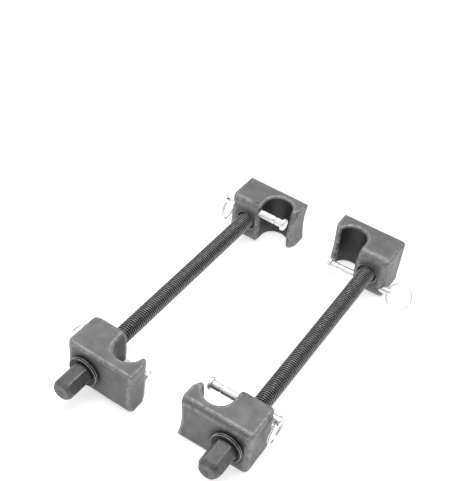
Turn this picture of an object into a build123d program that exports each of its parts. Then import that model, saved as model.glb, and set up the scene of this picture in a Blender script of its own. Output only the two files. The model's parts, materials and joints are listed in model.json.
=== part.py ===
from build123d import *
import os

# A matched pair of hook-type coil spring compressors lying side by side on a flat surface.
# Frame: +X to the right, +Y along the screws from the drive hexes to the travelling jaws, +Z up.
# Origin: on the resting surface, below the middle of the pair.
# Every piece is drawn once in a simple frame of its own and then placed. Sizes are in millimetres.

# Layout of the pair
pair_spacing = 138.0
left_unit_setback = 7.0
left_unit_yaw = 1.2
right_screw_x = 68.0
right_hex_y = -154.3

# Forcing screw, 5/8 inch with 11 threads to the inch
screw_diameter = 15.80
thread_pitch = 25.4 / 11
thread_root_diameter = 13.40
thread_start = 41.7
thread_turns = 118
thread_lead_out = 1.5
thread_valley = 0.45
thread_rise_end = 0.90
hex_across_flats = 19.05
hex_length = 26.2
hex_nose_radius = 7.8
hex_nose_length = 5.5
hex_corner_rounding = 1.6
hex_shoulder = 1.2
hex_corner_radius = hex_across_flats / 3**0.5 + 0.2
screw_end_chamfer = 1.6

# Thrust washers between the hex and the drive jaw
washer_outer_diameter = 28.6
washer_bore = 16.6
washer_thickness = 1.7
washer_edge_chamfer = 0.25
outer_washer_position = 26.35
inner_washer_position = 28.3

# Jaw casting, drawn with the hook arm towards -X and the thrust face on Y = 0
drive_thrust_face = 30.2
travel_thrust_face = 315.7
jaw_half_height = 23.5
jaw_depth = 40.0
body_outer_side = 19.5
arm_end = 48.0
finger_depth = 24.8
finger_side_depth = 17.0
finger_tip_inset = 3.6
throat_inset = 17.0
throat_depth = 27.8
inner_corner_radius = 7.0
outer_corner_radius = 4.5
arm_corner_radius = 5.0
mouth_corner_radius = 3.5
rim_radius = 1.0
screw_side_radius = 7.0
mouth_centre = 26.5
mouth_depth = 25.0
mouth_rim_radius = 14.0
mouth_waist_radius = 12.4
saddle_pinch = 2.6
drive_bore = 16.3
travel_bore = 15.95
counterbore_diameter = 18.6
counterbore_depth = 3.0
bore_countersink = 1.8
counterbore_countersink = 1.6
broad_chamfer = 4.0
edge_chamfer = 1.0
detent_seat_clearance = 0.1

# Safety pin, crossing the mouth beside the screw
pin_depth = 35.0
pin_offset = 13.4
pin_diameter = 7.90
pin_bore = 8.06
pin_head_diameter = 12.0
pin_head_thickness = 3.4
pin_head_outer = 41.5
pin_outer_end = 27.2
pin_travel = 23.0
detent_groove_depth = 0.45
detent_groove_floor = 0.5
detent_groove_top = 1.2
pin_head_rounding = 0.8
pin_end_chamfer = 1.0

# Detent that holds each pin locked or open
detent_position = 7.0
detent_ball_diameter = 2.6
detent_hole_diameter = 2.9
detent_plug_diameter = 3.8
detent_plug_thickness = 1.0
detent_plug_recess = 1.2
detent_plug_clearance = 0.03
detent_spring_wire = 0.4
detent_spring_radius = 0.9
detent_spring_pitch = 0.55
detent_gap = 0.05

# Pull rings, each a split ring of two turns
ring_hole_position = 23.4
ring_hole_diameter = 4.2
ring_mean_radius = 12.3
ring_wire = 1.3
ring_turn_pitch = 1.36
ring_slack = 0.3

# Lengths for cutting tools, all longer than the piece they cut
jaw_cut_start = -60
jaw_cut_length = 120


os.makedirs("parts", exist_ok=True)


def save(piece, node, place):
    """Place a finished piece and write it as one named node."""
    with BuildPart() as placed:
        add(piece.part.moved(place))
    placed.part.label = node
    export_step(placed.part, f"parts/{node}.step")


# --- Forcing screw -----------------------------------------------------------------------------
# One piece: a hex head, a plain shank inside the drive jaw and a thread to the far end.
screw_end = thread_start + thread_turns * thread_pitch + thread_lead_out

with BuildPart() as screw:
    with BuildSketch(Plane.XY) as shaft_section:
        with BuildLine():
            crest = screw_diameter / 2
            root = thread_root_diameter / 2
            profile = [(0, hex_length - 1), (crest, hex_length - 1), (crest, thread_start)]
            for turn in range(thread_turns):
                start = thread_start + turn * thread_pitch
                profile.append((root, start + thread_pitch * thread_valley))
                profile.append((crest, start + thread_pitch * thread_rise_end))
                profile.append((crest, start + thread_pitch))
            profile.append((crest - screw_end_chamfer, screw_end))
            profile.append((0, screw_end))
            Polyline(*profile, close=True)
        make_face()
    revolve(axis=Axis.Y)

with BuildPart() as hex_head:
    with BuildSketch(Plane.XZ):
        RegularPolygon(hex_across_flats / 2, 6, major_radius=False, rotation=0)
    extrude(amount=-hex_length)
    with BuildSketch(Plane.XY):
        with BuildLine():
            Polyline(
                (0, 0),
                (hex_nose_radius, 0),
                (hex_corner_radius, hex_nose_length),
                (hex_corner_radius, hex_length - hex_corner_rounding),
                (hex_corner_radius - hex_shoulder, hex_length),
                (0, hex_length),
                close=True,
            )
        make_face()
    revolve(axis=Axis.Y, mode=Mode.INTERSECT)

with BuildPart() as forcing_screw:
    add(screw.part)
    add(hex_head.part)

# --- Thrust washer -----------------------------------------------------------------------------
with BuildPart() as thrust_washer:
    with BuildSketch(Plane.XZ):
        Circle(washer_outer_diameter / 2)
        Circle(washer_bore / 2, mode=Mode.SUBTRACT)
    extrude(amount=-washer_thickness)
    chamfer(thrust_washer.edges().filter_by(GeomType.CIRCLE).sort_by(SortBy.RADIUS)[-2:], washer_edge_chamfer)


# --- Jaw casting -------------------------------------------------------------------------------
def build_jaw(bore):
    """One hook jaw, with the given screw bore."""
    half = jaw_half_height
    with BuildPart() as jaw:
        # Plan outline of the body and the hook arm, before the mouth is cut
        with BuildSketch(Plane.XY.offset(-half)) as plan:
            with BuildLine():
                Polyline(
                    (body_outer_side, 0),
                    (-arm_end, 0),
                    (-arm_end, finger_side_depth),
                    (-arm_end + finger_tip_inset, finger_depth),
                    (-mouth_centre, finger_depth),
                    (-throat_inset, throat_depth),
                    (-throat_inset, jaw_depth),
                    (body_outer_side, jaw_depth),
                    close=True,
                )
            make_face()
            outer_corners = plan.vertices().group_by(Axis.X)[-1].sort_by(Axis.Y)
            fillet(outer_corners[1], inner_corner_radius)
            outer_corners = plan.vertices().group_by(Axis.X)[-1].sort_by(Axis.Y)
            fillet(outer_corners[0], outer_corner_radius)
            arm_corner = plan.vertices().group_by(Axis.X)[0].sort_by(Axis.Y)[1]
            fillet(arm_corner, arm_corner_radius)
        extrude(amount=2 * half)

        # Mouth: an hourglass seat that flares towards both faces and opens to the screw side
        with BuildSketch(Plane.XZ.offset(-mouth_depth)):
            with BuildLine():
                ThreePointArc(
                    (-mouth_centre - mouth_rim_radius, half),
                    (-mouth_centre - mouth_waist_radius, 0),
                    (-mouth_centre - mouth_rim_radius, -half),
                )
                Line(
                    (-mouth_centre - mouth_rim_radius, -half),
                    (-mouth_centre + mouth_rim_radius, -half),
                )
                ThreePointArc(
                    (-mouth_centre + mouth_rim_radius, -half),
                    (-mouth_centre + mouth_waist_radius, 0),
                    (-mouth_centre + mouth_rim_radius, half),
                )
                Line(
                    (-mouth_centre + mouth_rim_radius, half),
                    (-mouth_centre - mouth_rim_radius, half),
                )
            make_face()
        extrude(amount=-jaw_depth, mode=Mode.SUBTRACT)
        with BuildSketch(Plane.XZ.offset(-mouth_depth)):
            with BuildLine():
                ThreePointArc(
                    (-mouth_centre + mouth_rim_radius, -half),
                    (-mouth_centre + mouth_waist_radius, 0),
                    (-mouth_centre + mouth_rim_radius, half),
                )
                Polyline(
                    (-mouth_centre + mouth_rim_radius, half),
                    (-mouth_centre, half),
                    (-mouth_centre, -half),
                    (-mouth_centre + mouth_rim_radius, -half),
                )
            make_face()
        mouth_axis = Axis((-mouth_centre, mouth_depth, 0), (0, 0, 1))
        revolve(axis=mouth_axis, mode=Mode.SUBTRACT)

        # Saddle: the arm's end is hollowed along its height
        saddle_radius = (half**2 + saddle_pinch**2) / (2 * saddle_pinch)
        with BuildSketch(Plane.XZ.offset(jaw_depth)):
            with Locations((-arm_end + saddle_pinch - saddle_radius, 0)):
                Circle(saddle_radius)
        extrude(amount=-2 * jaw_depth, mode=Mode.SUBTRACT)

        # Vertical edge where the mouth meets the screw-side face
        mouth_corner = jaw.edges().filter_by_position(Axis.Y, jaw_depth - 0.01, jaw_depth + 0.01)
        fillet(mouth_corner.sort_by(Axis.X)[0], mouth_corner_radius)

        # Cast rounding round both flat faces
        rims = jaw.faces().group_by(Axis.Z)[-1].edges() + jaw.faces().group_by(Axis.Z)[0].edges()
        rims = [edge for edge in rims if edge.center().X > -12 and edge.center().Y > 0.1]
        fillet(rims, rim_radius)

        # Broad chamfer along the thrust face on the pin side, a fine one on the other side
        for side, size in ((1, broad_chamfer), (-1, edge_chamfer)):
            with BuildSketch(Plane.YZ.offset(jaw_cut_start)):
                with BuildLine():
                    Polyline(
                        (-1, side * (half + 1)),
                        (size, side * (half + 1)),
                        (size, side * half),
                        (0, side * (half - size)),
                        (-1, side * (half - size)),
                        close=True,
                    )
                make_face()
            extrude(amount=jaw_cut_length, mode=Mode.SUBTRACT)

        # The body and arm round off broadly towards the screw side, above and below
        with BuildSketch(Plane.YZ.offset(jaw_cut_start)) as side_view:
            Rectangle(2 * jaw_depth, 2 * half)
            fillet(side_view.vertices().group_by(Axis.X)[-1], screw_side_radius)
        extrude(amount=jaw_cut_length, mode=Mode.INTERSECT)

        # Screw bore with a clearance counterbore on the screw-side face
        with BuildSketch(Plane.XY):
            with BuildLine():
                Polyline(
                    (0, -1),
                    (bore / 2 + bore_countersink, -1),
                    (bore / 2, 0.8),
                    (bore / 2, jaw_depth - counterbore_depth),
                    (counterbore_diameter / 2, jaw_depth - counterbore_depth),
                    (counterbore_diameter / 2, jaw_depth - 0.6),
                    (counterbore_diameter / 2 + counterbore_countersink, jaw_depth + 1),
                    (0, jaw_depth + 1),
                    close=True,
                )
            make_face()
        revolve(axis=Axis.Y, mode=Mode.SUBTRACT)

        # Safety pin bore, along the arm
        with BuildSketch(Plane.YZ.offset(jaw_cut_start)):
            with Locations((pin_depth, pin_offset)):
                Circle(pin_bore / 2)
        extrude(amount=jaw_cut_length, mode=Mode.SUBTRACT)

        # Stepped detent hole from the pin-side face down to the pin bore
        with BuildSketch(Plane.XY.offset(pin_offset)):
            with Locations((-detent_position, pin_depth)):
                Circle(detent_hole_diameter / 2)
        extrude(amount=half, mode=Mode.SUBTRACT)
        with BuildSketch(Plane.XY.offset(half - detent_plug_recess - detent_plug_thickness - detent_seat_clearance)):
            with Locations((-detent_position, pin_depth)):
                Circle(detent_plug_diameter / 2)
        extrude(amount=half, mode=Mode.SUBTRACT)
    return jaw


# --- Safety pin --------------------------------------------------------------------------------
# Drawn along X on the origin, head towards the hook finger.
with BuildPart() as safety_pin:
    with BuildSketch(Plane.XY):
        shaft = pin_diameter / 2
        groove = shaft - detent_groove_depth
        outline = [(-pin_head_outer, 0), (-pin_head_outer, pin_head_diameter / 2 - pin_head_rounding)]
        outline.append((-pin_head_outer + pin_head_rounding, pin_head_diameter / 2))
        outline.append((-pin_head_outer + pin_head_thickness, pin_head_diameter / 2))
        outline.append((-pin_head_outer + pin_head_thickness, shaft))
        for position in (-detent_position - pin_travel, -detent_position):
            outline.append((position - detent_groove_top, shaft))
            outline.append((position - detent_groove_floor, groove))
            outline.append((position + detent_groove_floor, groove))
            outline.append((position + detent_groove_top, shaft))
        outline.append((pin_outer_end - pin_end_chamfer, shaft))
        outline.append((pin_outer_end, shaft - pin_end_chamfer))
        outline.append((pin_outer_end, 0))
        with BuildLine():
            Polyline(*outline, close=True)
        make_face()
    revolve(axis=Axis.X)
    with BuildSketch(Plane.XZ.offset(-pin_diameter)):
        with Locations((ring_hole_position, 0)):
            Circle(ring_hole_diameter / 2)
    extrude(amount=2 * pin_diameter, mode=Mode.SUBTRACT)

# --- Pull ring ---------------------------------------------------------------------------------
# Two turns of wire, threaded through the pin's cross hole, which lies along Y through the origin.
with BuildPart() as pull_ring:
    ring_centre = (ring_mean_radius - ring_slack, 0, -ring_turn_pitch)
    with BuildLine() as turns:
        Helix(ring_turn_pitch, 2 * ring_turn_pitch, ring_mean_radius, center=ring_centre)
    with BuildSketch(Plane(turns.line @ 0, z_dir=turns.line % 0)):
        Circle(ring_wire / 2)
    sweep(is_frenet=True)

# --- Detent pieces -----------------------------------------------------------------------------
# Drawn on the origin, which is the axis of the pin below them; the ball rides just clear of it.
ball_centre = pin_diameter / 2 + 2 * detent_gap + detent_ball_diameter / 2
spring_bottom = ball_centre + detent_ball_diameter / 2 + detent_gap
plug_bottom = jaw_half_height - pin_offset - detent_plug_recess - detent_plug_thickness
spring_height = plug_bottom - detent_gap - spring_bottom - detent_spring_wire

with BuildPart() as detent_ball:
    with BuildSketch(Plane.XZ):
        with Locations((0, ball_centre)):
            Circle(detent_ball_diameter / 2)
            with Locations((-detent_ball_diameter, 0)):
                Rectangle(2 * detent_ball_diameter, 2 * detent_ball_diameter, mode=Mode.SUBTRACT)
    revolve(axis=Axis.Z)

with BuildPart() as detent_spring:
    with BuildLine() as coil:
        Helix(
            detent_spring_pitch,
            spring_height,
            detent_spring_radius,
            center=(0, 0, spring_bottom + detent_spring_wire / 2),
        )
    with BuildSketch(Plane(coil.line @ 0, z_dir=coil.line % 0)):
        Circle(detent_spring_wire / 2)
    sweep(is_frenet=True)

with BuildPart() as detent_plug:
    with BuildSketch(Plane.XY.offset(plug_bottom)):
        Circle(detent_plug_diameter / 2 - detent_plug_clearance)
    extrude(amount=detent_plug_thickness)

# --- Assembly ----------------------------------------------------------------------------------
drive_jaw = build_jaw(drive_bore)
travel_jaw = build_jaw(travel_bore)

right_unit = Location((right_screw_x, right_hex_y, jaw_half_height))
left_unit = Location(
    (right_screw_x - pair_spacing, right_hex_y - left_unit_setback, jaw_half_height),
    (0, 0, -left_unit_yaw),
) * Location((0, 0, 0), (0, 180, 0))

# Each unit: its place, then how its two pins are turned and how far their rings swing down
units = {
    "right": (right_unit, {"drive": (0, 90), "travel": (48.5, 0)}),
    "left": (left_unit, {"drive": (-24, -14.2), "travel": (0, 90)}),
}

for side, (unit, ring_pose) in units.items():
    save(forcing_screw, f"{side}_forcing_screw", unit)
    for name, position in (("outer", outer_washer_position), ("inner", inner_washer_position)):
        save(thrust_washer, f"{side}_{name}_thrust_washer", unit * Location((0, position, 0)))
    stations = {
        "drive": (drive_jaw, unit * Location((0, drive_thrust_face, 0))),
        "travel": (travel_jaw, unit * Location((0, travel_thrust_face, 0), (180, 0, 0))),
    }
    for station, (jaw, place) in stations.items():
        pin_axis = place * Location((0, pin_depth, pin_offset))
        detent_axis = pin_axis * Location((-detent_position, 0, 0))
        roll, swing = ring_pose[station]
        rolled = pin_axis * Location((0, 0, 0), (roll, 0, 0))
        ring_place = rolled * Location((ring_hole_position, 0, 0), (0, swing, 0))
        save(jaw, f"{side}_{station}_jaw", place)
        save(safety_pin, f"{side}_{station}_safety_pin", rolled)
        save(pull_ring, f"{side}_{station}_pull_ring", ring_place)
        save(detent_ball, f"{side}_{station}_detent_ball", detent_axis)
        save(detent_spring, f"{side}_{station}_detent_spring", detent_axis)
        save(detent_plug, f"{side}_{station}_detent_plug", detent_axis)
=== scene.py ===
import json
import math

import bmesh
import bpy
import numpy as np
from mathutils import Matrix, Vector, noise


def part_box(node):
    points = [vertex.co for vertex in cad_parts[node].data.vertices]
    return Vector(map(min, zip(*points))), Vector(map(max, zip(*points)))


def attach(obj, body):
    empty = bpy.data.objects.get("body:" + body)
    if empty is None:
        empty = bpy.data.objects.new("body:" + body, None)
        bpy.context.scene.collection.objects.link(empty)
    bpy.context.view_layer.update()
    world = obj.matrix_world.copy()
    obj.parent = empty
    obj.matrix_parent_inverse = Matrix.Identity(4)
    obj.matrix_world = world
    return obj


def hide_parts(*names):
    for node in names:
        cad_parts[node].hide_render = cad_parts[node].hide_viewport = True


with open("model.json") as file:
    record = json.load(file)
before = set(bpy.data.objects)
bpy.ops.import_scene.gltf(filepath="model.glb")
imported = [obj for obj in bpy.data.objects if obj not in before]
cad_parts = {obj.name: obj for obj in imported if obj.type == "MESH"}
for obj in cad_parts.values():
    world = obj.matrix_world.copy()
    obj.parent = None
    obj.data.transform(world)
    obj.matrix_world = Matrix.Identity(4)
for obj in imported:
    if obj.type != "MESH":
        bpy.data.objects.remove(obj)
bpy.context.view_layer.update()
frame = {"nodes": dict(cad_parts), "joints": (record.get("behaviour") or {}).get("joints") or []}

# A matched pair of screw-and-hook coil spring compressors on a plain pale floor.
# Lengths are in metres; MM turns millimetres into metres.
MM = 0.001
SIDES = ("right", "left")
STATIONS = ("drive", "travel")
JOINTS = {joint["name"]: joint for joint in frame["joints"]}

# Unevenness of the forged skin
SWELL_SIZE = 9 * MM
PIT_SIZE = 1.7 * MM


def body_frame(origin, x_axis, y_axis):
    """Placement matrix with the given X and Y directions."""
    x_dir = Vector(x_axis).normalized()
    y_dir = Vector(y_axis).normalized()
    z_dir = x_dir.cross(y_dir)
    placed = Matrix((x_dir, y_dir, z_dir)).transposed().to_4x4()
    placed.translation = Vector(origin)
    return placed


def unit_frame(side):
    """A unit's own frame: origin on the hex end, Y along the screw, X away from the hooks."""
    turn = JOINTS[f"{side}_screw_turn"]
    pull = JOINTS[f"{side}_drive_pin_pull"]
    return body_frame(turn["pos_m"], pull["axis"], turn["axis"])


# --- Mesh helpers ------------------------------------------------------------------------------
def mesh_object(name, vertices, faces):
    mesh = bpy.data.meshes.new(name)
    mesh.from_pydata([tuple(v) for v in vertices], [], faces)
    mesh.validate()
    obj = bpy.data.objects.new(name, mesh)
    bpy.context.scene.collection.objects.link(obj)
    return obj


def weld(obj, distance=1e-6, sliver=None):
    """Joins coincident vertices, drops faces thinner than sliver if given, and turns all faces outwards."""
    bm = bmesh.new()
    bm.from_mesh(obj.data)
    bmesh.ops.remove_doubles(bm, verts=bm.verts, dist=distance)
    if sliver:
        bmesh.ops.dissolve_degenerate(bm, dist=sliver, edges=bm.edges)
    bmesh.ops.recalc_face_normals(bm, faces=bm.faces)
    bm.to_mesh(obj.data)
    bm.free()


def coordinates(mesh):
    co = np.zeros(len(mesh.vertices) * 3)
    mesh.vertices.foreach_get("co", co)
    return co.reshape(-1, 3)


def vertex_normals(mesh):
    normals = np.zeros(len(mesh.vertices) * 3)
    mesh.vertices.foreach_get("normal", normals)
    return normals.reshape(-1, 3)


def set_float(mesh, name, values):
    attribute = mesh.attributes.get(name) or mesh.attributes.new(name, "FLOAT", "POINT")
    attribute.data.foreach_set("value", np.asarray(values, np.float32))


def smooth_all(mesh):
    mesh.polygons.foreach_set("use_smooth", [True] * len(mesh.polygons))
    mesh.update()


def forged_copy(node, name, voxel):
    """A fresh, evenly meshed piece with a CAD node's shape."""
    source = frame["nodes"][node]
    obj = bpy.data.objects.new(name, source.data.copy())
    bpy.context.scene.collection.objects.link(obj)
    obj.data.materials.clear()
    weld(obj)
    remesh = obj.modifiers.new("remesh", "REMESH")
    remesh.mode = "VOXEL"
    remesh.voxel_size = voxel
    remesh.adaptivity = 0.0
    depsgraph = bpy.context.evaluated_depsgraph_get()
    final = bpy.data.meshes.new_from_object(obj.evaluated_get(depsgraph))
    obj.modifiers.clear()
    obj.data = final
    final.name = name
    for attribute in list(final.attributes):
        if attribute.name.startswith("UV"):
            final.attributes.remove(attribute)
    smooth_all(final)
    return obj


def edge_arrays(mesh):
    pairs = np.zeros(len(mesh.edges) * 2, np.int64)
    mesh.edges.foreach_get("vertices", pairs)
    return pairs.reshape(-1, 2)


def neighbour_mean(values, pairs, count):
    total = np.zeros(values.shape)
    np.add.at(total, pairs[:, 0], values[pairs[:, 1]])
    np.add.at(total, pairs[:, 1], values[pairs[:, 0]])
    if values.ndim == 2:
        return total / count[:, None]
    return total / count


def edge_wear(mesh, rounds, scale):
    """0 on flat and hollow places, towards 1 on outward edges."""
    co = coordinates(mesh)
    normals = vertex_normals(mesh)
    pairs = edge_arrays(mesh)
    count = np.bincount(pairs.ravel(), minlength=len(co)).clip(1)
    bend = ((co - neighbour_mean(co, pairs, count)) * normals).sum(1)
    for _ in range(rounds):
        bend = 0.4 * bend + 0.6 * neighbour_mean(bend, pairs, count)
    return np.clip(bend / scale, -1, 1)


def soften(mesh, rounds, weight):
    """Rounds edges as forging leaves them; weight is 0 where a machined edge stays crisp."""
    co = coordinates(mesh)
    pairs = edge_arrays(mesh)
    count = np.bincount(pairs.ravel(), minlength=len(co)).clip(1)
    for _ in range(rounds):
        co += 0.5 * weight[:, None] * (neighbour_mean(co, pairs, count) - co)
    mesh.vertices.foreach_set("co", co.ravel())
    mesh.update()


def roughen(obj, coarse, fine):
    """Uneven forged skin: broad swells and finer pitting, pushed along the normals."""
    mesh = obj.data
    co = coordinates(mesh)
    shift = np.zeros(len(co))
    for i, point in enumerate(co):
        p = Vector(point)
        shift[i] = coarse * noise.noise(p / SWELL_SIZE) + fine * noise.noise(p / PIT_SIZE)
    co += vertex_normals(mesh) * shift[:, None]
    mesh.vertices.foreach_set("co", co.ravel())
    mesh.update()


def on_circle(place, radius, along, angle):
    """A point round the Y axis of a unit's own frame."""
    return place @ Vector((radius * math.sin(angle), along, radius * math.cos(angle)))


def lathe(name, profile, segments, place, wear):
    """A turned ring from a closed profile of (distance along Y, radius) pairs."""
    rows, vertices, wears = [], [], []
    for (along, radius), rubbed_and_highlight_colour in zip(profile, wear):
        row = []
        for j in range(segments):
            row.append(len(vertices))
            vertices.append(on_circle(place, radius, along, 2 * math.pi * j / segments))
            wears.append(rubbed_and_highlight_colour)
        rows.append(row)
    faces = []
    for a, b in zip(rows, rows[1:]):
        for j in range(segments):
            n = (j + 1) % segments
            faces.append((a[j], a[n], b[n], b[j]))
    obj = mesh_object(name, vertices, faces)
    set_float(obj.data, "wear", wears)
    smooth_all(obj.data)
    return obj


# --- Materials ---------------------------------------------------------------------------------
def new_material(name):
    material = bpy.data.materials.new(name)
    material.use_nodes = True
    nodes = material.node_tree.nodes
    nodes.clear()
    out = nodes.new("ShaderNodeOutputMaterial")
    shader = nodes.new("ShaderNodeBsdfPrincipled")
    material.node_tree.links.new(shader.outputs["BSDF"], out.inputs["Surface"])
    return material, material.node_tree, shader


def noise_node(tree, scale, detail, roughness=0.55):
    coord = tree.nodes.new("ShaderNodeTexCoord")
    tex = tree.nodes.new("ShaderNodeTexNoise")
    tex.inputs["Scale"].default_value = scale
    tex.inputs["Detail"].default_value = detail
    tex.inputs["Roughness"].default_value = roughness
    tree.links.new(coord.outputs["Object"], tex.inputs["Vector"])
    return tex.outputs["Fac"]


def ramp(tree, source, stops):
    node = tree.nodes.new("ShaderNodeValToRGB")
    elements = node.color_ramp.elements
    elements[0].position, elements[0].color = stops[0][0], (*stops[0][1], 1)
    elements[1].position, elements[1].color = stops[-1][0], (*stops[-1][1], 1)
    for position, colour in stops[1:-1]:
        elements.new(position).color = (*colour, 1)
    tree.links.new(source, node.inputs["Fac"])
    return node.outputs["Color"]


def map_range(tree, source, low, high, to_low, to_high):
    node = tree.nodes.new("ShaderNodeMapRange")
    for key, value in (("From Min", low), ("From Max", high), ("To Min", to_low), ("To Max", to_high)):
        node.inputs[key].default_value = value
    tree.links.new(source, node.inputs["Value"])
    return node.outputs["Result"]


def mix_colour(tree, factor, a, b):
    node = tree.nodes.new("ShaderNodeMix")
    node.data_type = "RGBA"
    tree.links.new(factor, node.inputs["Factor"])
    for value, key in ((a, 6), (b, 7)):
        if isinstance(value, tuple):
            node.inputs[key].default_value = (*value, 1)
        else:
            tree.links.new(value, node.inputs[key])
    return node.outputs[2]


def maths(tree, operation, a, b, clamp=False):
    node = tree.nodes.new("ShaderNodeMath")
    node.operation = operation
    node.use_clamp = clamp
    for value, key in ((a, 0), (b, 1)):
        if isinstance(value, (int, float)):
            node.inputs[key].default_value = value
        else:
            tree.links.new(value, node.inputs[key])
    return node.outputs[0]


def attribute_value(tree, name):
    node = tree.nodes.new("ShaderNodeAttribute")
    node.attribute_name = name
    return node.outputs["Fac"]


def bump(tree, shader, height, strength, distance):
    node = tree.nodes.new("ShaderNodeBump")
    node.inputs["Strength"].default_value = strength
    node.inputs["Distance"].default_value = distance
    tree.links.new(height, node.inputs["Height"])
    tree.links.new(node.outputs["Normal"], shader.inputs["Normal"])


def forged_material():
    """Satin grey coating over forged steel; worn brighter along the edges."""
    material, tree, shader = new_material("forged_jaw_coating")
    broad = noise_node(tree, 90, 3)
    grain = noise_node(tree, 1300, 4, 0.7)
    tone = maths(tree, "ADD", maths(tree, "MULTIPLY", broad, 0.55), maths(tree, "MULTIPLY", grain, 0.45))
    base = ramp(tree, tone, [(0.3, (0.096, 0.096, 0.097)), (0.5, (0.124, 0.124, 0.125)),
                             (0.72, (0.168, 0.168, 0.169))])
    wear = attribute_value(tree, "wear")
    broken = map_range(tree, noise_node(tree, 260, 4, 0.65), 0.38, 0.62, 0.15, 1.0)
    edge = maths(tree, "MULTIPLY", map_range(tree, wear, 0.25, 1.0, 0, 0.8), broken, True)
    hollow = map_range(tree, wear, -1.0, -0.3, 0.6, 0)
    base = mix_colour(tree, hollow, base, (0.05, 0.05, 0.05))
    # painted shade: the coating is darkened round the washers, round the screw bore and inside the mouth
    painted_shade = map_range(tree, attribute_value(tree, "painted_shade"), 0, 1, 0, 0.88)
    base = mix_colour(tree, painted_shade, base, (0.016, 0.016, 0.016))
    base = mix_colour(tree, edge, base, (0.27, 0.27, 0.27))
    tree.links.new(base, shader.inputs["Base Color"])
    shader.inputs["Metallic"].default_value = 0.25
    polish = maths(tree, "MULTIPLY", edge, 0.12)
    rough = maths(tree, "SUBTRACT", map_range(tree, tone, 0.3, 0.7, 0.60, 0.44), polish)
    tree.links.new(rough, shader.inputs["Roughness"])
    shader.inputs["Specular IOR Level"].default_value = 0.45
    bump(tree, shader, grain, 0.45, 0.00012)
    return material


def black_oxide_material(name, rubbed_and_highlight_colour, bare_metal, gloss):
    """Black oxide with a light oil film; crests and edges rubbed to a lighter colour, which on the washers'
    rim chamfers is also a painted highlight.
    """
    material, tree, shader = new_material(name)
    broad = noise_node(tree, 140, 3)
    fine = noise_node(tree, 1900, 3, 0.6)
    base = ramp(tree, broad, [(0.35, (0.018, 0.018, 0.019)), (0.7, (0.036, 0.036, 0.038))])
    wear = attribute_value(tree, "wear")
    broken = map_range(tree, noise_node(tree, 500, 3), 0.35, 0.6, 0.45, 1.0)
    edge = maths(tree, "MULTIPLY", wear, broken, True)
    base = mix_colour(tree, edge, base, rubbed_and_highlight_colour)
    tree.links.new(base, shader.inputs["Base Color"])
    tree.links.new(map_range(tree, wear, 0, 1, bare_metal, 0.75), shader.inputs["Metallic"])
    shader.inputs["Specular IOR Level"].default_value = gloss
    tree.links.new(map_range(tree, fine, 0.3, 0.7, 0.32, 0.46), shader.inputs["Roughness"])
    bump(tree, shader, fine, 0.3, 0.00005)
    return material


def zinc_material():
    """Bright zinc plating with a faint drawn grain and slightly duller spots."""
    material, tree, shader = new_material("bright_zinc_plating")
    broad = noise_node(tree, 220, 3)
    fine = noise_node(tree, 2600, 3, 0.6)
    base = ramp(tree, broad, [(0.3, (0.72, 0.73, 0.74)), (0.7, (0.84, 0.85, 0.86))])
    tree.links.new(base, shader.inputs["Base Color"])
    shader.inputs["Metallic"].default_value = 0.85
    tree.links.new(map_range(tree, broad, 0.3, 0.7, 0.44, 0.34), shader.inputs["Roughness"])
    bump(tree, shader, fine, 0.10, 0.00002)
    return material


def steel_material():
    """Ground bare steel of the detent balls and springs."""
    material, tree, shader = new_material("ground_bare_steel")
    broad = noise_node(tree, 400, 3)
    fine = noise_node(tree, 3000, 3, 0.6)
    base = ramp(tree, broad, [(0.3, (0.42, 0.42, 0.43)), (0.7, (0.58, 0.58, 0.60))])
    tree.links.new(base, shader.inputs["Base Color"])
    shader.inputs["Metallic"].default_value = 1.0
    tree.links.new(map_range(tree, fine, 0.3, 0.7, 0.22, 0.36), shader.inputs["Roughness"])
    bump(tree, shader, fine, 0.2, 0.00003)
    return material


def hex_material():
    """Dull grey steel of the hex head: the black finish mostly rubbed off by sockets."""
    material, tree, shader = new_material("worn_hex_steel")
    broad = noise_node(tree, 170, 4)
    fine = noise_node(tree, 1500, 3, 0.65)
    base = ramp(tree, broad, [(0.3, (0.058, 0.058, 0.059)), (0.7, (0.106, 0.106, 0.107))])
    wear = attribute_value(tree, "wear")
    broken = map_range(tree, noise_node(tree, 420, 3), 0.35, 0.6, 0.3, 1.0)
    base = mix_colour(tree, maths(tree, "MULTIPLY", wear, broken, True), base, (0.30, 0.30, 0.30))
    tree.links.new(base, shader.inputs["Base Color"])
    shader.inputs["Metallic"].default_value = 0.35
    tree.links.new(map_range(tree, fine, 0.3, 0.7, 0.42, 0.58), shader.inputs["Roughness"])
    bump(tree, shader, fine, 0.4, 0.00008)
    return material


FORGED = forged_material()
HEX = hex_material()
SCREW = black_oxide_material("black_oxide_screw", (0.34, 0.34, 0.345), 0.45, 0.5)
# washers: the light colour on the rim chamfers is a painted highlight line as well as rubbed wear
WASHER = black_oxide_material("black_oxide_washer", (0.62, 0.62, 0.62), 0.1, 0.14)
ZINC = zinc_material()
STEEL = steel_material()


# --- Forcing screw -----------------------------------------------------------------------------
HEX_FLAT = 19.05 / 2 * MM
HEX_CORNER = 11.05 * MM
HEX_OVERSHOOT = 0.1 * MM
HEX_LENGTH = 26.2 * MM
HEX_SEGMENTS = 120
HEX_BACK_CHAMFER = 1.6 * MM
HEX_BACK_SLOPE = 0.75
HEX_END_ROUNDING = 0.35 * MM
HEX_CORNER_BLEND = 0.35 * MM
HEX_NOSE_BLEND = 0.3 * MM
HEX_BACK_BLEND = 0.4 * MM
NOSE_RADIUS = 7.8 * MM
NOSE_LENGTH = 5.5 * MM
DIMPLE_RADIUS = 1.2 * MM
DIMPLE_RIM_DEPTH = 0.35 * MM
DIMPLE_DEPTH = 0.9 * MM
DIMPLE_FLAT_SHARE = 0.72
CORNER_WEAR_START = 0.82
CORNER_WEAR = 0.75
END_WEAR = 0.12
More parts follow.
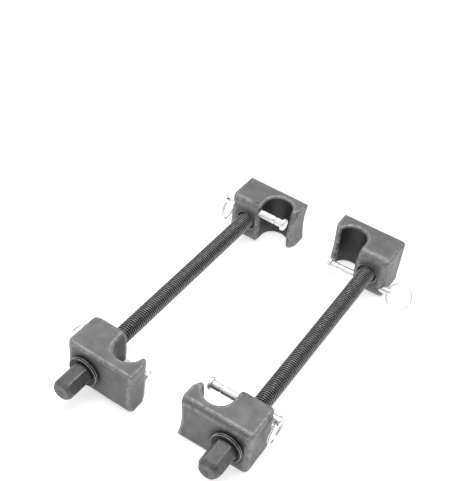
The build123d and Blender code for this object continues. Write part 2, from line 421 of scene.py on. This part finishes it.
# Cross-sections of the head, in millimetres from its end face: close together where it curves
HEX_STATIONS = [0.0, 0.0, 0.0, 0.05, 0.2, 0.5] + [0.5 + 0.5 * k for k in range(1, 13)]
HEX_STATIONS += [8.0, 10.0, 13.0, 16.0, 19.0, 22.0, 24.3, 24.9, 25.4, 25.7, 25.9, 26.1, 26.2, 26.2]
HEX_WORN_FROM, HEX_WORN_TO = 2.5, 25.7

CREST = 7.90 * MM
ROOT = 6.70 * MM
PITCH = 25.4 / 11 * MM
THREAD_START = 41.7 * MM
THREAD_TURNS = 118
THREAD_SEGMENTS = 48
ROWS_PER_PITCH = 12
SPARE_TURNS = 3
GRID_LEAD = 1.2 * PITCH
LEAD_IN = 0.3 * PITCH
CREST_FLAT = 0.10
FLANK_SHARE = 0.76
CREST_WEAR_START = 0.55
PLAIN_END = 1.5 * MM
END_CHAMFER = 1.6 * MM
END_INSETS = (0.12 * MM, 0.5 * MM, 2.0 * MM, 4.5 * MM)


def soft_least(a, b, width):
    """The smaller of two lengths, rounded where they meet."""
    h = max(width - abs(a - b), 0.0) / width
    return min(a, b) - h * h * width * 0.25


def hex_rows(place):
    """Hex head with its tapered nose, from the centre of the end face to the shank."""
    vertices, wears, rows = [], [], []
    rounding = HEX_END_ROUNDING
    sector = math.pi / 6
    for k, s in enumerate(HEX_STATIONS):
        along = s * MM
        row = []
        for j in range(HEX_SEGMENTS):
            angle = 2 * math.pi * j / HEX_SEGMENTS
            off_flat = (angle + sector) % (math.pi / 3) - sector
            flat = HEX_FLAT / math.cos(off_flat)
            flat = soft_least(flat, HEX_CORNER - HEX_OVERSHOOT, HEX_CORNER_BLEND)
            nose = NOSE_RADIUS + (HEX_CORNER + HEX_OVERSHOOT - NOSE_RADIUS) * along / NOSE_LENGTH
            past = max(0.0, along - (HEX_LENGTH - HEX_BACK_CHAMFER))
            back = HEX_CORNER + HEX_OVERSHOOT - past * HEX_BACK_SLOPE
            radius = soft_least(soft_least(flat, nose, HEX_NOSE_BLEND), back, HEX_BACK_BLEND)
            if along < rounding:
                radius -= rounding - math.sqrt(max(rounding**2 - (rounding - along) ** 2, 0))
            if k == 0:
                radius = DIMPLE_RADIUS
            elif k == 1:
                radius *= DIMPLE_FLAT_SHARE
            elif k == len(HEX_STATIONS) - 1:
                radius = CREST
            dip = DIMPLE_RIM_DEPTH if k == 0 else 0.0
            row.append(len(vertices))
            vertices.append(on_circle(place, radius, along + dip, angle))
            corner = max(0.0, abs(off_flat) / sector - CORNER_WEAR_START) / (1 - CORNER_WEAR_START)
            wears.append(CORNER_WEAR * corner if HEX_WORN_FROM < s < HEX_WORN_TO else END_WEAR)
        rows.append(row)
    return vertices, wears, rows


def thread_section(phase):
    """Radius share between root (0) and crest (1) along one pitch."""
    share = abs(phase - 0.5) * 2
    return min(1.0, max(0.0, (share - CREST_FLAT) / FLANK_SHARE))


def build_screw(side):
    place = unit_frame(side)
    vertices, wears, rows = hex_rows(place)
    centre = len(vertices)
    vertices.append(place @ Vector((0, DIMPLE_DEPTH, 0)))
    wears.append(0.0)
    faces = [(centre, rows[0][(j + 1) % HEX_SEGMENTS], rows[0][j]) for j in range(HEX_SEGMENTS)]
    for a, b in zip(rows, rows[1:]):
        for j in range(HEX_SEGMENTS):
            n = (j + 1) % HEX_SEGMENTS
            faces.append((a[j], a[n], b[n], b[j]))
    head = mesh_object(f"{side}_screw_head", vertices, faces)
    set_float(head.data, "wear", wears)

    # Shank and thread: a grid whose rows follow the helix, so that the crest stays one clean line
    around, per_pitch = THREAD_SEGMENTS, ROWS_PER_PITCH
    screw_end = THREAD_START + THREAD_TURNS * PITCH + PLAIN_END
    total = (THREAD_TURNS + SPARE_TURNS) * per_pitch
    vertices, wears, rows = [], [], []
    for i in range(total):
        row = []
        phase = (i % per_pitch) / per_pitch
        for j in range(around + 1):
            angle = 2 * math.pi * j / around
            along = THREAD_START - GRID_LEAD + i * PITCH / per_pitch + PITCH * j / around
            share = thread_section(phase)
            lead_in = min(1.0, max(0.0, (along - THREAD_START + LEAD_IN) / PITCH))
            radius = CREST - (CREST - ROOT) * (1 - share) * lead_in
            along = min(max(along, HEX_LENGTH), screw_end)
            radius = min(radius, CREST - max(0.0, along - (screw_end - END_CHAMFER)))
            if i == 0:
                along = HEX_LENGTH
            row.append(len(vertices))
            vertices.append(on_circle(place, radius, along, angle))
            wears.append(max(0.0, (share - CREST_WEAR_START) / (1 - CREST_WEAR_START)) * lead_in)
        rows.append(row)
    faces = []
    for a, b in zip(rows, rows[1:]):
        for j in range(around):
            faces.append((a[j], a[j + 1], b[j + 1], b[j]))
    rim = rows[-1]
    for inset in END_INSETS:
        radius = CREST - END_CHAMFER - inset
        ring = []
        for j in range(around + 1):
            ring.append(len(vertices))
            vertices.append(on_circle(place, radius, screw_end, 2 * math.pi * j / around))
            wears.append(0.0)
        for j in range(around):
            faces.append((rim[j], rim[j + 1], ring[j + 1], ring[j]))
        rim = ring
    far = len(vertices)
    vertices.append(place @ Vector((0, screw_end, 0)))
    wears.append(0.0)
    for j in range(around):
        faces.append((rim[j], rim[j + 1], far))
    shaft = mesh_object(f"{side}_screw_thread", vertices, faces)
    set_float(shaft.data, "wear", wears)
    for part in (head, shaft):
        weld(part, 2e-6, sliver=1e-7)
        smooth_all(part.data)
        part.data.materials.append(HEX if part is head else SCREW)
        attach(part, f"{side}_screw")
    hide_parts(f"{side}_forcing_screw")


# --- Thrust washers ----------------------------------------------------------------------------
WASHER_START = {"outer": 26.35, "inner": 28.3}
WASHER_THICKNESS = 1.7 * MM
WASHER_OUTER = 14.3 * MM
WASHER_INNER = 8.3 * MM
WASHER_EDGE = 0.42 * MM
WASHER_RIM_HOLLOW = 0.02 * MM
WASHER_SEGMENTS = 128


def build_washer(side, which, body):
    node = f"{side}_{which}_thrust_washer"
    place = unit_frame(side)
    start = WASHER_START[which] * MM
    thick, outer, inner, edge = WASHER_THICKNESS, WASHER_OUTER, WASHER_INNER, WASHER_EDGE
    radii = [inner + edge, inner + 1.0 * MM, inner + 3.2 * MM, outer - 1.0 * MM, outer - edge]
    profile = [(0.0, radius) for radius in radii]
    wear = [0.0, 0.0, 0.0, 0.0, 0.25]
    # the rim chamfer towards the hex gets a light band peaking mid-chamfer: a painted highlight line with a
    # little rubbed wear
    for k in range(1, 4):
        angle = k * math.pi / 8
        profile.append((edge * (1 - math.cos(angle)), outer - edge + edge * math.sin(angle)))
        wear.append((0.6, 1.0, 0.5)[k - 1])
    profile += [(edge, outer), (thick / 2, outer - WASHER_RIM_HOLLOW), (thick - edge, outer)]
    wear += [0.05, 0.0, 0.0]
    # the far rim chamfer gets a fainter painted highlight line
    for k in range(1, 4):
        angle = k * math.pi / 8
        profile.append((thick - edge * (1 - math.sin(angle)), outer - edge + edge * math.cos(angle)))
        wear.append((0.1, 0.35, 0.2)[k - 1])
    profile += [(thick, radius) for radius in reversed(radii)]
    wear += [0.1, 0.0, 0.0, 0.0, 0.0]
    profile += [(thick - edge, inner), (edge, inner), (0.0, inner + edge)]
    wear += [0.1, 0.1, 0.0]
    profile = [(along + start, radius) for along, radius in profile]
    obj = lathe(f"{node}_turned", profile, WASHER_SEGMENTS, place, wear)
    weld(obj, 1e-7)
    smooth_all(obj.data)
    obj.data.materials.append(WASHER)
    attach(obj, body)
    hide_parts(node)


# --- Jaws --------------------------------------------------------------------------------------
THRUST_FACE = {"drive": 30.2 * MM, "travel": 315.7 * MM}
JAW_VOXEL = 0.00055
# Places in a jaw's own frame, in millimetres
PIN_Y, PIN_Z = 35.0, 13.4
DETENT_X = -7.0
MOUTH_X, MOUTH_Y = -26.5, 25.0
INNER_FACE_Y = 40


def jaw_frame(side, station):
    """A jaw's own frame: X away from the hook, Y from the thrust face inwards, Z to the pin side."""
    pin = JOINTS[f"{side}_{station}_pin_pull"]
    turn = JOINTS[f"{side}_screw_turn"]
    x_dir = Vector(pin["axis"]).normalized()
    y_dir = Vector(turn["axis"]).normalized() * (1 if station == "drive" else -1)
    hex_end = Vector(turn["pos_m"])
    face = THRUST_FACE[station]
    return body_frame(hex_end + Vector(turn["axis"]).normalized() * face, x_dir, y_dir)


def ramp_down(distance, near, far):
    """1 up to near, 0 from far on."""
    share = np.clip((distance - near) / (far - near), 0, 1)
    return 1 - share * share * (3 - 2 * share)


def build_jaw(side, station):
    node = f"{side}_{station}_jaw"
    obj = forged_copy(node, f"{node}_forged", JAW_VOXEL)
    mesh = obj.data
    inverse = np.array(jaw_frame(side, station).inverted())
    own = coordinates(mesh) @ inverse[:3, :3].T + inverse[:3, 3]
    x, y, z = own[:, 0] / MM, own[:, 1] / MM, own[:, 2] / MM
    screw_bore = np.hypot(x, z)
    pin_bore = np.hypot(y - PIN_Y, z - PIN_Z)
    # the detent's seat is on the pin side only, so the other side is counted as far away
    detent = np.hypot(x - DETENT_X, y - PIN_Y) + np.where(z < 15, 20.0, 0.0)
    crisp = np.maximum(ramp_down(screw_bore, 10.6, 12.2), ramp_down(pin_bore, 4.6, 5.6))
    crisp = np.maximum(crisp, ramp_down(detent, 3.1, 4.2))
    soften(mesh, 4, np.ones(len(x)))
    broad = np.where(y > 20, 1.0, 0.75)
    soften(mesh, 30, (1 - crisp) * broad)
    wear = edge_wear(mesh, 2, 7.5e-6)
    wear = wear * (1 - ramp_down(detent, 3.4, 5.0)) * (1 - ramp_down(pin_bore, 4.6, 6.0))
    set_float(mesh, "wear", wear)
    # Painted shade: a painted shadow round the washers on the thrust face, darkening round the screw on the
    # inner face, and darkening inside the mouth
    washer_painted_shadow = ramp_down(screw_bore, 13.5, 21.5) * ramp_down(y, 0.6, 2.5)
    washer_painted_shadow = washer_painted_shadow * (1.0 if station == "drive" else 0.3)
    screw_bore_painted_shade = ramp_down(screw_bore, 9.0, 17.0) * ramp_down(INNER_FACE_Y - y, 0.8, 4.0) * 0.8
    mouth = np.hypot(x - MOUTH_X, np.minimum(y - MOUTH_Y, 0.0))
    mouth_painted_shade = ramp_down(mouth, 14.2, 15.6) * ramp_down(np.abs(z), 20.0, 23.6)
    mouth_painted_shade = mouth_painted_shade * ramp_down(12.0 - y, 0.0, 3.0)
    set_float(mesh, "painted_shade", np.clip(np.maximum(np.maximum(washer_painted_shadow, screw_bore_painted_shade), mouth_painted_shade), 0, 1))
    roughen(obj, 0.12 * MM, 0.04 * MM)
    obj.data.materials.append(FORGED)
    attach(obj, f"{side}_{station}")
    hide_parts(node)


# --- Safety pins and pull rings ----------------------------------------------------------------
PIN_VOXEL = 0.00030


def build_pin(side, station):
    node = f"{side}_{station}_safety_pin"
    obj = forged_copy(node, f"{node}_plated", PIN_VOXEL)
    soften(obj.data, 7, np.ones(len(obj.data.vertices)))
    smooth_all(obj.data)
    obj.data.materials.append(ZINC)
    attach(obj, f"{side}_{station}_pin")
    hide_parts(node)


RING_RADIUS = 12.3 * MM
RING_WIRE = 0.65 * MM
RING_PITCH = 1.36 * MM
RING_TURNS = 1.94
RING_START_ANGLE = 0.10
RING_STEPS = 220
WIRE_SIDES = 12
WIRE_FLATNESS = 0.92


def ring_frame(side, station):
    """The ring's own frame: Y along the pin's cross hole, X towards the ring's centre."""
    low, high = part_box(f"{side}_{station}_pull_ring")
    swing = JOINTS[f"{side}_{station}_ring_swing"]
    hole = Vector(swing["pos_m"])
    across = Vector(swing["axis"]).normalized()
    centre = (low + high) / 2
    outward = centre - hole
    outward -= across * outward.dot(across)
    outward.normalize()
    placed = Matrix((outward, across, outward.cross(across))).transposed().to_4x4()
    placed.translation = hole
    return placed


def build_ring(side, station):
    node = f"{side}_{station}_pull_ring"
    place = ring_frame(side, station)
    low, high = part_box(node)
    middle = place.inverted() @ ((low + high) / 2)
    steps, around = RING_STEPS, WIRE_SIDES
    vertices, faces = [], []
    for i in range(steps + 1):
        share = i / steps
        angle = 2 * math.pi * RING_TURNS * share + RING_START_ANGLE
        height = (share - 0.5) * RING_TURNS * RING_PITCH
        # the wire crosses over to the second turn in a short step and lies flat elsewhere
        cross = 0.5 + 0.5 * math.tanh((share - 0.5) * 16)
        height = 0.35 * height + 0.65 * (cross - 0.5) * RING_PITCH * 1.1
        radial = Vector((math.cos(angle), math.sin(angle), 0))
        centre = Vector((middle.x, 0, middle.z)) + radial * (RING_RADIUS - 0.02 * MM)
        taper = min(1.0, 0.72 + 14 * min(share, 1 - share))
        for j in range(around):
            turn = 2 * math.pi * j / around
            offset = radial * math.cos(turn) * RING_WIRE * taper
            offset += Vector((0, 0, math.sin(turn))) * RING_WIRE * WIRE_FLATNESS * taper
            point = centre + Vector((0, 0, height)) + offset
            vertices.append(place @ point)
    for i in range(steps):
        for j in range(around):
            n = (j + 1) % around
            a, b = i * around, (i + 1) * around
            faces.append((a + j, a + n, b + n, b + j))
    faces.append(tuple(reversed(range(around))))
    faces.append(tuple(range(steps * around, (steps + 1) * around)))
    obj = mesh_object(f"{node}_wire", vertices, faces)
    weld(obj, 1e-8)
    smooth_all(obj.data)
    obj.data.materials.append(ZINC)
    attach(obj, f"{side}_{station}_ring")
    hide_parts(node)


for side in SIDES:
    build_screw(side)
    build_washer(side, "outer", f"{side}_screw")
    build_washer(side, "inner", f"{side}_drive")
    for station in STATIONS:
        build_jaw(side, station)
        build_pin(side, station)
        build_ring(side, station)
        for piece, material, slot in (("detent_ball", STEEL, "bare_spring_steel"),
                                      ("detent_spring", STEEL, "bare_spring_steel"),
                                      ("detent_plug", FORGED, "forged_jaw")):
            node = frame["nodes"][f"{side}_{station}_{piece}"]
            node.data.materials.clear()
            node.data.materials.append(material)

for name, node in frame["nodes"].items():
    if not node.data.materials or node.hide_render:
        node.data.materials.clear()
        kind = {"jaw": FORGED, "screw": SCREW, "washer": WASHER, "pin": ZINC, "ring": ZINC}
        node.data.materials.append(kind[name.rsplit("_", 1)[1]])

# --- Stage -------------------------------------------------------------------------------------
REACH = 6
floor_corners = [(-REACH, -REACH, 0), (REACH, -REACH, 0), (REACH, REACH, 0), (-REACH, REACH, 0)]
floor = mesh_object("studio_floor", floor_corners, [(0, 1, 2, 3)])
floor_material, floor_tree, floor_shader = new_material("studio_paper")
paper_tones = [(0.3, (0.86, 0.86, 0.86)), (0.7, (0.89, 0.89, 0.89))]
floor_tone = ramp(floor_tree, noise_node(floor_tree, 3, 2), paper_tones)
floor_tree.links.new(floor_tone, floor_shader.inputs["Base Color"])
floor_shader.inputs["Roughness"].default_value = 0.9
floor_shader.inputs["Emission Color"].default_value = (1, 1, 1, 1)
floor_shader.inputs["Emission Strength"].default_value = 0.55
floor.data.materials.append(floor_material)

scene = bpy.context.scene
world = bpy.data.worlds.new("soft_studio")
scene.world = world
world.use_nodes = True
world.node_tree.nodes["Background"].inputs["Color"].default_value = (1, 1, 1, 1)
world.node_tree.nodes["Background"].inputs["Strength"].default_value = 0.45
scene.view_settings.view_transform = "Standard"


def softbox(name, position, target, size, watts):
    light = bpy.data.lights.new(name, "AREA")
    light.shape = "SQUARE"
    light.size = size
    light.energy = watts
    obj = bpy.data.objects.new(name, light)
    scene.collection.objects.link(obj)
    obj.location = position
    obj.rotation_mode = "QUATERNION"
    obj.rotation_quaternion = (Vector(target) - Vector(position)).to_track_quat("-Z", "Y")


softbox("top_softbox", (-0.15, 0.35, 1.5), (0, 0, 0), 1.4, 26)
softbox("front_fill", (-0.9, -1.3, 0.9), (0, 0, 0.03), 0.8, 4)

# Camera: looks down along the pair, placed from the right unit's hex end
CAMERA_OFFSET = (0.19644, -0.38051, 0.62711)
CAMERA_RIGHT = (0.83896, 0.53590, 0.09469)
CAMERA_FORWARD = (-0.34458, 0.65779, -0.66976)
SENSOR = 36.0
LENS = 961.35 * SENSOR / 481.0
hex_end = Vector(JOINTS["right_screw_turn"]["pos_m"])
camera_data = bpy.data.cameras.new("camera")
camera = bpy.data.objects.new("camera", camera_data)
scene.collection.objects.link(camera)
scene.camera = camera
camera_data.sensor_width = SENSOR
camera_data.sensor_fit = "AUTO"
camera_data.lens = LENS
camera_data.clip_start = 0.05
camera_data.clip_end = 30.0
right = Vector(CAMERA_RIGHT).normalized()
forward = Vector(CAMERA_FORWARD).normalized()
up = right.cross(forward).normalized()
camera.matrix_world = Matrix((right, up, -forward)).transposed().to_4x4()
camera.location = hex_end + Vector(CAMERA_OFFSET)
